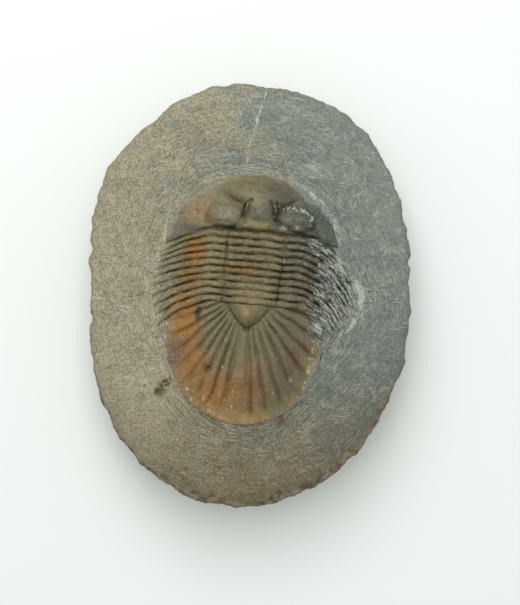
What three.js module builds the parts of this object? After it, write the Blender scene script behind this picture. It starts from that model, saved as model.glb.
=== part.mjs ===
// A trilobite fossil on its oval block of limestone. Millimetres, +Z up, head towards +Y,
// origin in the middle of the flat base. The shell is made of the plates that the living
// animal had: a cranidium, two free cheeks, ten thoracic segments and a tail shield. They
// lie on a low swell of the block, each a hair's breadth from its neighbours.
import * as THREE from 'three';

// Block of limestone
const OUTLINE_RADII = [
  39.9, 41.9, 46.2, 50.7, 51.9, 52.7, 49.6, 46.9, 41.9,
  39.4, 41.9, 46.1, 50.2, 52.7, 51.5, 48.2, 43.8, 41.3,
]; // from the middle to the rim, every 20 degrees, counter-clockwise from +X
const BED_HEIGHT = 21; // where the edge of the shell meets the rock
const SWELL = 2.3; // rise of the rock under the shell
const SHOULDER_RISE = 1.3; // rise of the rock beyond the carved hollow round the shell
const RIM_FALL = 1.4; // how far the top has worn down at the rim
const TOP_RINGS = [0, 0.08, 0.16, 0.24, 0.32, 0.4, 0.48, 0.56, 0.64, 0.73, 0.82, 0.9, 0.965];
const WALL_RINGS = [
  [0.992, 0.9], [1, 0.6], [0.985, 0.3], [0.955, 0.07], [0.935, 0],
]; // share of the outline and of the bed's height, from the rim down to the base
const SPOKES = 60;
const BED_HALF = { u: 23.5, v: 30.5 }; // half sizes of the oval that the shell covers

// Shell, in its own frame: u to the animal's side, v towards its head
const TILT = THREE.MathUtils.degToRad(-5.5);
const SHELL_CENTRE = new THREE.Vector2(0.4, -1.0);
const GAP = 0.3; // between neighbouring pieces
const EDGE_HEIGHT = 0.9; // top of the shell's outer edge above the bed
const PLATFORM = 3.3; // rise from that edge to the inner part of the pleurae
const PLATFORM_EDGE = 0.42; // share of the half width where the flank starts to fall

// Thorax
const SEGMENTS = 10;
const THORAX_FRONT = 16.1; // v of its front edge
const PITCH = 1.73; // length of one segment
const FULCRUM = 10; // where the pleurae start to sweep back
const SWEEP_SPAN = 12.5; // from the fulcrum to where the sweeps below are measured
const TIP_START = 0.8; // share of the reach where a pleura starts to narrow to its tip
const LEFT_REACH = { most: 24.2, at: 5, shrink: 0.075 }; // widest at segment `at`
const RIGHT_REACH = { first: 20.8, growth: 4.5, most: 25.9, fall: 0.1, shrink: 0.045 };
const LEFT_SWEEP = { least: 3.4, at: 4, growth: 0.11, curve: 1.6 }; // least swept at `at`
const RIGHT_SWEEP = { most: 8.6, lack: 5, easing: 1.6, curve: 2 }; // grows from the head back
const SEGMENT_CREST = 0.55; // height of a segment's crest over its edges
const AXIS = { front: 7.0, back: 5.8, rise: 2.5 }; // half widths and rise of the axial lobe
const AXIAL_FURROW = { depth: 0.4, width: 1.0 };

// Head shield
const HEAD = { u: -1.1, v: 11.5, halfWidth: 20.9, length: 18.7 };
const MARGIN_CURVE = { across: 1.9, forwards: 0.5 }; // powers of the head's rounded outline
const SUTURE = { back: 14.9, front: 9.3 }; // half widths of the cranidium
const CHEEK_CURVE = 1.4; // how much a cheek's points crowd towards its genal corner
const GENAL_ANGLE = { left: 22, right: 19.5 }; // where the head's margin meets the thorax
const FRONTAL_LOBE = { v: 25.6, halfWidth: 8.8, halfLength: 4.9, rise: 3.0 };
const GLABELLA_WAIST = { halfWidth: 4.4, rise: 2.6, narrow: [16.5, 19.5], fade: [22, 26] };
const OCCIPITAL_FURROW = { v: 18.7, depth: 0.5, width: 0.7 };
const EYE = { u: 8.9, v: 20.3, halfWidth: 4.3, halfLength: 2.9, rise: 1.9 };

// Tail shield
const TAIL = { u: -0.9, v: -10.5, halfWidth: 18.7, halfLength: 19.7 };
const TAIL_RIBS = 8; // pairs of ribs, beside one middle rib
const FAN = { middle: 12.5, spacing: 9.4 }; // degrees: half the middle rib, then each rib
const RIB_DEPTH = 0.8; // from a rib's crest down to its grooves
const RIB_SHARES = { start: 0.12, full: 0.35, fade: 0.8 }; // from the fan's top to the margin
const TAIL_AXIS = { halfWidth: 5.4, length: 5.8, rise: 1.8, taper: 1.3, least: 0.05 };

const smooth = (from, to, x) => THREE.MathUtils.smoothstep(x, from, to);
const { lerp } = THREE.MathUtils;

const DOME_SHOULDER = 0.6; // lower for a flatter top and steeper sides

/** A dome of height 1 at 0 that falls steeply to 0 at 1. */
const dome = (distance) => Math.max(0, 1 - distance * distance) ** DOME_SHOULDER;

// ---------------------------------------------------------------- meshes

/** Collects the triangles of one closed body, joining equal corners as it goes. */
class Solid {
  constructor() {
    this.points = [];
    this.triangles = [];
    this.known = new Map();
  }

  corner(x, y, z) {
    const key = [x, y, z].map((value) => value.toFixed(4)).join();
    if (!this.known.has(key)) {
      this.known.set(key, this.points.length / 3);
      this.points.push(x, y, z);
    }
    return this.known.get(key);
  }

  triangle(a, b, c) {
    if (a !== b && b !== c && c !== a) this.triangles.push(a, b, c);
  }

  quad(a, b, c, d) {
    this.triangle(a, b, c);
    this.triangle(a, c, d);
  }

  geometry() {
    const geometry = new THREE.BufferGeometry();
    geometry.setAttribute('position', new THREE.Float32BufferAttribute(this.points, 3));
    geometry.setIndex(this.triangles);
    geometry.computeVertexNormals();
    return geometry;
  }
}

/**
 * A plate with a curved top and underside. place(column, row) gives the point { u, v } and
 * the heights top and bottom there; columns run to +u and rows run towards the head.
 */
function plate(columns, rows, place) {
  const solid = new Solid();
  const grid = columns.map((column) => rows.map((row) => {
    const { u, v, top, bottom } = place(column, row);
    return { top: solid.corner(u, v, top), bottom: solid.corner(u, v, bottom) };
  }));
  const lastColumn = columns.length - 1;
  const lastRow = rows.length - 1;
  for (let i = 0; i < lastColumn; i += 1) {
    for (let j = 0; j < lastRow; j += 1) {
      const [a, b, c, d] = [grid[i][j], grid[i + 1][j], grid[i + 1][j + 1], grid[i][j + 1]];
      solid.quad(a.top, b.top, c.top, d.top);
      solid.quad(d.bottom, c.bottom, b.bottom, a.bottom);
    }
  }
  const wall = (from, to) => solid.quad(from.bottom, to.bottom, to.top, from.top);
  for (let i = 0; i < lastColumn; i += 1) {
    wall(grid[i][0], grid[i + 1][0]);
    wall(grid[i + 1][lastRow], grid[i][lastRow]);
  }
  for (let j = 0; j < lastRow; j += 1) {
    wall(grid[lastColumn][j], grid[lastColumn][j + 1]);
    wall(grid[0][j + 1], grid[0][j]);
  }
  return solid.geometry();
}

/** Evenly spaced values, both ends included. */
const steps = (from, to, count) => (
  Array.from({ length: count + 1 }, (_, i) => lerp(from, to, i / count))
);

// ---------------------------------------------------------------- limestone block

/** Distance from the middle to the rim: a smooth closed curve through OUTLINE_RADII. */
function outlineRadius(angle) {
  const count = OUTLINE_RADII.length;
  const turn = (angle / (2 * Math.PI) + 1) * count;
  const start = Math.floor(turn);
  const [a, b, c, d] = [-1, 0, 1, 2].map((k) => OUTLINE_RADII[(start + k + count) % count]);
  const t = turn - start;
  return b + 0.5 * t * (c - a + t * (2 * a - 5 * b + 4 * c - d + t * (3 * (b - c) + d - a)));
}

/** A point of the base plane in the shell's own frame. */
function toShell(x, y) {
  const point = new THREE.Vector2(x, y).sub(SHELL_CENTRE);
  return point.rotateAround(new THREE.Vector2(), -TILT);
}

/** Rise of the rock under the shell, at a point of the shell's frame. */
function swell(u, v) {
  return SWELL * (1 - smooth(0.3, 0.9, Math.hypot(u / BED_HALF.u, v / BED_HALF.v)));
}

/** Height of the block's top face; share is 0 in the middle and 1 at the rim. */
function stoneTop(x, y, share) {
  const { x: u, y: v } = toShell(x, y);
  const fromShell = Math.hypot(u / BED_HALF.u, v / BED_HALF.v);
  const shoulder = SHOULDER_RISE * smooth(1.0, 1.45, fromShell);
  return BED_HEIGHT + swell(u, v) + shoulder - RIM_FALL * smooth(0.75, 1, share);
}

function limestoneBlock() {
  const solid = new Solid();
  const angles = steps(0, 2 * Math.PI, SPOKES);
  const middle = (angle) => {
    const radii = [angle, angle + Math.PI].map(outlineRadius);
    return (radii[0] - radii[1]) / 2;
  };
  const shift = new THREE.Vector2(middle(0), middle(Math.PI / 2));
  const rings = angles.slice(0, SPOKES).map((angle) => {
    const radius = outlineRadius(angle);
    const at = (share, height) => {
      const x = share * (radius * Math.cos(angle) - shift.x);
      const y = share * (radius * Math.sin(angle) - shift.y);
      return solid.corner(x, y, height(x, y));
    };
    const top = TOP_RINGS.map((share) => at(share, (x, y) => stoneTop(x, y, share)));
    const wall = WALL_RINGS.map(([share, level]) => at(share, () => level * BED_HEIGHT));
    return [...top, ...wall, at(0, () => 0)];
  });
  rings.forEach((ring, i) => {
    const next = rings[(i + 1) % SPOKES];
    for (let j = 0; j + 1 < ring.length; j += 1) {
      solid.quad(ring[j], ring[j + 1], next[j + 1], next[j]);
    }
  });
  return solid.geometry();
}

// ---------------------------------------------------------------- shape of the body

/** Height over the bed of the smooth flank; share is 0 at the axis and 1 at the edge. */
const flank = (share) => EDGE_HEIGHT + PLATFORM * (1 - smooth(PLATFORM_EDGE, 1, share));

/** The raised lobe along the middle of the body, with a furrow on each side. */
function axialLobe(u, halfWidth, rise) {
  const furrow = AXIAL_FURROW.depth
    * Math.exp(-(((Math.abs(u) - halfWidth) / AXIAL_FURROW.width) ** 2));
  return rise * dome(u / halfWidth) - furrow;
}

/** A shell point with its top and its underside, which follows the rock below. */
function shellPoint(u, v, height) {
  return { u, v, top: BED_HEIGHT + height, bottom: BED_HEIGHT + swell(u, v) + GAP };
}

// ---------------------------------------------------------------- thorax

/** How far out the pleurae reach at edge n, counted in segments from the head. */
const leftReach = (n) => LEFT_REACH.most - LEFT_REACH.shrink * (n - LEFT_REACH.at) ** 2;
function rightReach(n) {
  const { first, growth, most, fall, shrink } = RIGHT_REACH;
  return Math.min(first + growth * n, most - fall * n - shrink * n ** 2);
}

/** v of the edge n at u: straight across the middle, then swept back past the fulcrum. */
function segmentEdge(n, u) {
  const past = Math.max(0, Math.abs(u) - FULCRUM) / SWEEP_SPAN;
  const { least, at, growth } = LEFT_SWEEP;
  const { most, lack, easing } = RIGHT_SWEEP;
  const left = (least + growth * (n - at) ** 2) * past ** LEFT_SWEEP.curve;
  const right = (most - lack * Math.exp(-easing * Math.max(0, n))) * past ** RIGHT_SWEEP.curve;
  return THORAX_FRONT - PITCH * n - (u < 0 ? left : right);
}

function axisHalfWidth(n) {
  return lerp(AXIS.front, AXIS.back, n / SEGMENTS);
}

/** The segment between edges number - 1 and number: a ridge that ends in a point each side. */
function thoracicSegment(number) {
  const inset = GAP / 2 / PITCH;
  const across = steps(-1, 1, 24);
  const along = [1 - inset, 0.5, inset];
  return plate(across, along, (s, t) => {
    const taper = smooth(TIP_START, 1, Math.abs(s)) ** 2;
    const tip = 1 - inset;
    const n = number - 1 + lerp(t, tip, taper);
    const u = s * (s < 0 ? leftReach(n) : rightReach(n));
    const crest = SEGMENT_CREST * (dome(2 * t - 1) - 0.5) * (1 - taper);
    const height = flank(Math.abs(s)) + axialLobe(u, axisHalfWidth(n), AXIS.rise) + crest;
    return shellPoint(u, segmentEdge(n, u), height);
  });
}

// ---------------------------------------------------------------- head shield

/** Half width of the cranidium; t is 0 at the back of the head and 1 at its front. */
const sutureHalfWidth = (t) => lerp(SUTURE.back, SUTURE.front, smooth(0, 1, t));

/** v of the front margin of the head at u. */
function headMargin(u) {
  const share = Math.min(1, Math.abs(u - HEAD.u) / HEAD.halfWidth);
  return HEAD.v + HEAD.length * (1 - share ** MARGIN_CURVE.across) ** MARGIN_CURVE.forwards;
}

/** The glabella: a narrow waist with a broad frontal lobe, over an occipital ring. */
function glabella(u, v) {
  const { narrow, fade } = GLABELLA_WAIST;
  const halfWidth = lerp(AXIS.front, GLABELLA_WAIST.halfWidth, smooth(...narrow, v));
  const furrow = OCCIPITAL_FURROW.depth
    * Math.exp(-(((v - OCCIPITAL_FURROW.v) / OCCIPITAL_FURROW.width) ** 2));
  const waist = (GLABELLA_WAIST.rise * (1 - smooth(...fade, v)) - furrow) * dome(u / halfWidth);
  const lobe = FRONTAL_LOBE.rise * dome(Math.hypot(
    u / FRONTAL_LOBE.halfWidth,
    (v - FRONTAL_LOBE.v) / FRONTAL_LOBE.halfLength,
  ));
  return Math.max(waist, lobe);
}

function eyeLobe(u, v) {
  return EYE.rise * dome(Math.hypot(
    (Math.abs(u) - EYE.u) / EYE.halfWidth,
    (v - EYE.v) / EYE.halfLength,
  ));
}

function headPoint(u, v) {
  const share = Math.hypot((u - HEAD.u) / HEAD.halfWidth, (v - HEAD.v) / HEAD.length);
  return shellPoint(u, v, flank(share) + Math.max(glabella(u, v), eyeLobe(u, v)));
}

function cranidium() {
  const backGap = GAP / 2 / PITCH;
  return plate(steps(-1, 1, 30), steps(0, 1, 15), (s, t) => {
    const u = s * (sutureHalfWidth(t) - GAP / 2);
    return headPoint(u, lerp(segmentEdge(-backGap, u), headMargin(u), t));
  });
}

/**
 * The free cheek of one side, a three-cornered patch between the back of the head, the
 * suture and the head's margin. side is -1 or 1.
 */
function freeCheek(side) {
  const backGap = GAP / 2 / PITCH;
  const genal = side < 0 ? GENAL_ANGLE.left : GENAL_ANGLE.right;
  const sutureU = (t) => side * (sutureHalfWidth(t) + GAP / 2);
  const back = (s) => {
    const u = lerp(sutureU(0), side * genal, s);
    return new THREE.Vector2(u, segmentEdge(-backGap, u));
  };
  const suture = (t) => {
    const u = sutureU(t);
    return new THREE.Vector2(u, lerp(segmentEdge(-backGap, u), headMargin(u), t));
  };
  const margin = (t) => {
    const u = lerp(side * genal, sutureU(1), t ** CHEEK_CURVE);
    return new THREE.Vector2(u, headMargin(u));
  };
  const acrossOut = steps(0, 1, 5);
  const columns = side < 0 ? [...acrossOut].reverse() : acrossOut;
  return plate(columns, steps(0, 1, 12), (s, t) => {
    const fromBack = back(s).sub(back(0).lerp(back(1), s)).multiplyScalar(1 - t);
    const { x, y } = suture(t).lerp(margin(t), s).add(fromBack);
    return headPoint(x, y);
  });
}

// ---------------------------------------------------------------- tail shield

/** Angle of the fan from the mid line; rib is 0 there, and each whole number is a groove. */
function fanAngle(rib) {
  const past = Math.max(0, Math.abs(rib) - 1);
  const degrees = FAN.middle * Math.min(1, Math.abs(rib)) + FAN.spacing * past;
  return Math.sign(rib) * THREE.MathUtils.degToRad(degrees);
}

/** Distance from the top of the fan to the tail's margin, in a direction from the mid line. */
function fanLength(angle, startV) {
  const [du, dv] = [Math.sin(angle) / TAIL.halfWidth, -Math.cos(angle) / TAIL.halfLength];
  const offset = (startV - TAIL.v) / TAIL.halfLength;
  const a = du * du + dv * dv;
  const b = offset * dv;
  return (-b + Math.sqrt(b * b - a * (offset * offset - 1))) / a;
}

function tailShield() {
  const frontEdge = SEGMENTS + GAP / 2 / PITCH;
  const lastGroove = TAIL_RIBS + 1;
  const startV = segmentEdge(frontEdge, TAIL.u);
  const ribs = steps(-lastGroove, lastGroove, 4 * lastGroove);
  const outwards = [1, 0.9, 0.78, 0.64, 0.5, 0.36, 0.24, 0.12, 0];
  return plate(ribs, outwards, (rib, share) => {
    const angle = fanAngle(rib);
    const length = share * fanLength(angle, startV);
    const frontU = TAIL.u + Math.sign(rib) * share * TAIL.halfWidth;
    const toFront = smooth(lastGroove - 2, lastGroove, Math.abs(rib));
    const u = lerp(TAIL.u + length * Math.sin(angle), frontU, toFront);
    const v = lerp(startV - length * Math.cos(angle), segmentEdge(frontEdge, frontU), toFront);
    const phase = Math.abs(rib) < 1 ? (1 + Math.abs(rib)) / 2 : Math.abs(rib);
    const ribbed = smooth(RIB_SHARES.start, RIB_SHARES.full, share)
      * (1 - smooth(RIB_SHARES.fade, 1, share));
    const crest = -0.5 * RIB_DEPTH * Math.cos(2 * Math.PI * phase) * ribbed;
    const back = (startV - v) / TAIL_AXIS.length;
    const narrowing = Math.max(TAIL_AXIS.least, 1 - back ** TAIL_AXIS.taper);
    const axisWidth = TAIL_AXIS.halfWidth * narrowing;
    const boss = back < 1 ? TAIL_AXIS.rise * dome((u - TAIL.u) / axisWidth) : 0;
    return shellPoint(u, v, flank(share) + boss + crest);
  });
}

// ---------------------------------------------------------------- assembly

const LIMESTONE = new THREE.MeshStandardMaterial({ color: 0x8f8d7d, roughness: 0.9, metalness: 0 });
const BROWN_SHELL = new THREE.MeshStandardMaterial({ color: 0x7c6846, roughness: 0.5, metalness: 0 });
const OLIVE_SHELL = new THREE.MeshStandardMaterial({ color: 0x716c56, roughness: 0.45, metalness: 0 });
const DARK_CHEEK = new THREE.MeshStandardMaterial({ color: 0x5a5f55, roughness: 0.5, metalness: 0 });

function piece(name, geometry, material) {
  const mesh = new THREE.Mesh(geometry, material);
  mesh.name = name;
  return mesh;
}

const shell = new THREE.Group();
shell.position.set(SHELL_CENTRE.x, SHELL_CENTRE.y, 0);
shell.rotation.z = TILT;
shell.add(
  piece('cranidium', cranidium(), OLIVE_SHELL),
  piece('left_free_cheek', freeCheek(-1), OLIVE_SHELL),
  piece('right_free_cheek', freeCheek(1), DARK_CHEEK),
  piece('tail_shield', tailShield(), BROWN_SHELL),
);
for (let number = 1; number <= SEGMENTS; number += 1) {
  const name = `thoracic_segment_${String(number).padStart(2, '0')}`;
  shell.add(piece(name, thoracicSegment(number), BROWN_SHELL));
}

const fossil = new THREE.Group();
fossil.add(piece('limestone_block', limestoneBlock(), LIMESTONE), shell);

export default fossil;
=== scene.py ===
"""A trilobite on its limestone block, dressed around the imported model. Metres, +Z up, head to +Y."""
import math

import bpy
import numpy as np
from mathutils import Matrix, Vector, noise


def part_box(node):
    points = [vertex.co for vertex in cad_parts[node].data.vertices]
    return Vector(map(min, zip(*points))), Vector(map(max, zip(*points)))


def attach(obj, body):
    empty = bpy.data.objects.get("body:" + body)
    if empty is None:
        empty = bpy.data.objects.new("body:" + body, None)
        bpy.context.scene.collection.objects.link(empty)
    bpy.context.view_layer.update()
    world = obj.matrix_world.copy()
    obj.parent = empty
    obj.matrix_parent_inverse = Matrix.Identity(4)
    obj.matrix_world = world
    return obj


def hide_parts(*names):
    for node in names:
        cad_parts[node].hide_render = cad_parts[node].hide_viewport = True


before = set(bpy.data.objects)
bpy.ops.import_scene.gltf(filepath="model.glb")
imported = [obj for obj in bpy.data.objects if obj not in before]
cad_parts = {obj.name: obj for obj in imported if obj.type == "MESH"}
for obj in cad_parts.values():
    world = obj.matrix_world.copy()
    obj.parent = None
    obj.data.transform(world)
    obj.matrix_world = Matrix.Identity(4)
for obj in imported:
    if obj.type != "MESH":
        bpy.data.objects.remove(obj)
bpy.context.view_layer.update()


# ---------------------------------------------------------------- limestone block
# A slab of grey Devonian limestone, trimmed to an oval by hand and sawn flat underneath. The
# rock round the shell was cut away with an air scribe, which left fine pale strokes that run
# round the animal; the rim keeps its brown weathered skin and is chipped all round.
MM = 0.001
BLOCK_HIGH = np.array(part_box("limestone_block")[1]) / MM
SWELL = 2.3  # rise of the rock under the shell
BED = BLOCK_HIGH[2] - SWELL  # level of the rock at the shell's edge
SHELL_CENTRE = (0.4, -1.0)
SHELL_TILT = math.radians(-5.5)
BLOCK_RADII = (
    39.9, 41.9, 46.2, 50.7, 51.9, 52.7, 49.6, 46.9, 41.9,
    39.4, 41.9, 46.1, 50.2, 52.7, 51.5, 48.2, 43.8, 41.3,
)  # middle to rim, every 20 degrees from +X
SHELL_RADII = (
    25.6, 24.4, 25.0, 27.9, 29.7, 30.2, 29.5, 27.1, 24.7,
    24.2, 24.0, 24.6, 28.2, 30.2, 29.6, 26.7, 22.7, 22.6,
)  # the same for the shell, in its own frame
RIM_CHIPS = (  # angle, half width in degrees, depth in mm
    (36, 3.5, 0.5), (58, 4, 0.4), (97, 2, 0.5), (118, 5, 0.5), (141, 4, 0.7), (163, 3, 0.6),
    (188, 2, 0.8), (203, 3, 0.9), (219, 2, 0.9), (232, 4, 0.6), (247, 3, 0.6), (262, 5, 0.4),
    (283, 4, 0.4), (301, 3, 0.8), (318, 2, 0.6), (342, 5, 0.4), (12, 2, 0.9), (26, 3, 0.5),
)
VEIN = ((3.8, 49.6), (2.8, 46.1), (1.6, 42.4), (0.9, 39.5), (0.1, 37.0), (-1.1, 31.9))
SCRATCH = ((-19.9, 19.4), (-20.5, 16.5), (-20.8, 13.2))
PIT = ((-20.2, -20.8), (-21.2, -22.0), (-21.9, -23.4))
RUST, RUST_SIZE = (7.2, -29.9), (0.9, 1.5)
SPOKES = 560
HIDDEN, CARVED, EDGE, WALL, UNDER = 4, 110, 10, 18, 3  # rings of points, from the middle outwards
INNER, BRINK, SHOULDER = 0.86, 0.965, 0.992  # shares of the way to the shell's edge and to the rim
ROUNDING = 1.7  # height of the block's rounded upper edge
ROUGH_FROM, ROUGH_FADE = 8, 12  # rings before the edge where the flake scars start, rings they grow over
FLAKE_DEPTH = 0.016  # of the way to the middle
OVAL = (23.5, 30.5)  # half sizes of the oval that the carved rock follows


def smooth(low, high, x):
    """0 below low, 1 above high, and an even S between them."""
    t = np.clip((x - low) / (high - low), 0, 1)
    return t * t * (3 - 2 * t)


def bell(x, width):
    """1 where x is 0, and about a third at width from it."""
    return np.exp(-(x / width) ** 2)


def spot(x, y, middle, size):
    """A soft round spot: 1 in its middle, about a third at size from it."""
    return np.exp(-((x - middle[0]) / size[0]) ** 2 - ((y - middle[1]) / size[1]) ** 2)


def together(*parts):
    """Arrays side by side, as the numbers of each point or the corners of each face."""
    return np.stack(np.broadcast_arrays(*parts), -1)


def through(radii, angle):
    """The radius, at an angle, of a smooth closed curve through evenly spaced radii."""
    radii = np.array(radii)
    turn = (angle / (2 * math.pi)) % 1 * len(radii)
    start = np.floor(turn).astype(int)
    a, b, c, d = (radii[(start + k) % len(radii)] for k in (-1, 0, 1, 2))
    t = turn - start
    return b + 0.5 * t * (c - a + t * (2 * a - 5 * b + 4 * c - d + t * (3 * (b - c) + d - a)))


def roughness(x, y, z, size, octaves=3):
    """Natural unevenness between about -1 and 1, with lumps of the given size."""
    places = together(x, y, z) / size
    heights = [noise.fractal(Vector(p), 0.9, 2.0, octaves) for p in places.reshape(-1, 3)]
    return np.array(heights).reshape(places.shape[:-1])


def scars(x, y, z, size):
    """Hollows left by knocked-off flakes: 1 in the middle of each, 0 on the ridges between."""
    places = together(x, y, z) / size
    away = np.array([noise.voronoi(Vector(p))[0][0] for p in places.reshape(-1, 3)])
    return np.clip(1 - away.reshape(places.shape[:-1]) ** 2, 0, 1)


def to_shell(x, y):
    """The block's X and Y turned into the shell's own frame: u to its right, v forwards."""
    dx, dy = x - SHELL_CENTRE[0], y - SHELL_CENTRE[1]
    return (dx * math.cos(SHELL_TILT) + dy * math.sin(SHELL_TILT),
            -dx * math.sin(SHELL_TILT) + dy * math.cos(SHELL_TILT))


def from_shell(u, v):
    return (SHELL_CENTRE[0] + u * math.cos(SHELL_TILT) - v * math.sin(SHELL_TILT),
            SHELL_CENTRE[1] + u * math.sin(SHELL_TILT) + v * math.cos(SHELL_TILT))


def beside_path(x, y, path):
    """Distance to a path, negative on its right side, so that it runs evenly through zero."""
    away, nearest = np.full(np.shape(x), np.inf), np.zeros(np.shape(x))
    for (ax, ay), (bx, by) in zip(path, path[1:]):
        length = math.hypot(bx - ax, by - ay)
        along = ((x - ax) * (bx - ax) + (y - ay) * (by - ay)) / length
        across = ((bx - ax) * (y - ay) - (by - ay) * (x - ax)) / length
        past = np.maximum(np.maximum(-along, along - length), 0)
        closer = np.hypot(across, past) < away
        away = np.where(closer, np.hypot(across, past), away)
        nearest = np.where(closer, across + np.where(across < 0, -past, past), nearest)
    return np.clip(nearest, -3, 3)


def near_path(x, y, path):
    """Distance from each point to a path of straight stretches."""
    nearest = np.full(np.shape(x), np.inf)
    for (ax, ay), (bx, by) in zip(path, path[1:]):
        run = (bx - ax, by - ay)
        t = ((x - ax) * run[0] + (y - ay) * run[1]) / (run[0] ** 2 + run[1] ** 2)
        t = np.clip(t, 0, 1)
        nearest = np.minimum(nearest, np.hypot(x - ax - t * run[0], y - ay - t * run[1]))
    return nearest


def clear_of_shell(u, v):
    """How far a point lies outside the shell's outline; negative under the shell."""
    return np.hypot(u, v) - through(SHELL_RADII, np.arctan2(v, u))


def bedrock(u, v):
    """Smooth height of the carved rock, without its tool marks."""
    oval = np.hypot(u / OVAL[0], v / OVAL[1])
    trench = 0.25 * bell(clear_of_shell(u, v) - 2.0, 1.5)
    return (BED + SWELL * (1 - smooth(0.3, 0.9, oval)) + 1.3 * smooth(1.0, 1.45, oval)
            + 0.3 * smooth(0.8, 0.95, oval) - trench)


def make_solid(name, points, faces, values, flat_faces=0):
    """A mesh object from points in mm, with a number or vector per point under each name in values.

    Its last flat_faces faces are flat, so that the upper face is shaded evenly up to its edge.
    """
    mesh = bpy.data.meshes.new(name)
    mesh.from_pydata((points * MM).tolist(), [], faces)
    mesh.polygons.foreach_set("use_smooth", np.arange(len(faces)) < len(faces) - flat_faces)
    for key, numbers in values.items():
        flat = numbers.ndim == 1
        layer = mesh.attributes.new(key, "FLOAT" if flat else "FLOAT_VECTOR", "POINT")
        layer.data.foreach_set("value" if flat else "vector", np.ravel(numbers).astype(np.float32))
    piece = bpy.data.objects.new(name, mesh)
    bpy.context.scene.collection.objects.link(piece)
    return piece


def trimmed_rim(angle):
    """The block's outline seen from above: trimmed by hand, with a chip here and there."""
    usual_radius = 46
    x, y = usual_radius * np.cos(angle), usual_radius * np.sin(angle)
    radius = (through(BLOCK_RADII, angle) - 0.2 - 0.3 * roughness(x, y, 0, 8.0, 2)
              - 0.3 * roughness(x, y, 0, 2.8, 3))
    for degrees, half_width, depth in RIM_CHIPS:
        away = np.degrees((angle - math.radians(degrees) + math.pi) % (2 * math.pi) - math.pi)
        radius -= 0.7 * depth * np.clip(1 - (away / half_width) ** 2, 0, 1)
    across, along = (through(BLOCK_RADII, np.array([a, a + math.pi])) for a in (0.0, math.pi / 2))
    return together(radius * np.cos(angle) - (across[0] - across[1]) / 2,
                    radius * np.sin(angle) - (along[0] - along[1]) / 2)


def block_plan(angle, rim):
    """Where the points of each spoke lie, seen from above, out over the face and back underneath."""
    outline = through(SHELL_RADII, angle)
    shell = together(*from_shell(outline * np.cos(angle), outline * np.sin(angle)))
    middle = np.array(SHELL_CENTRE)
    start = middle + (shell - middle) * INNER
    turn = np.linspace(0, math.pi / 2, EDGE, endpoint=False)[:, None]
    down = np.linspace(0, 1, WALL)
    wall = np.interp(down, (0, 0.33, 0.67, 0.93, 1), (SHOULDER, 1, 0.985, 0.955, 0.935))
    return np.concatenate([
        middle + (start - middle) * np.linspace(0.14, 1, HIDDEN, endpoint=False)[:, None],
        start + (rim * BRINK - start) * np.linspace(0, 1, CARVED, endpoint=False)[:, None],
        rim * (BRINK + (SHOULDER - BRINK) * np.sin(turn)),
        rim * wall[:, None],
        rim * np.linspace(0.92, 0.1, UNDER)[:, None]], 1)


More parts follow.
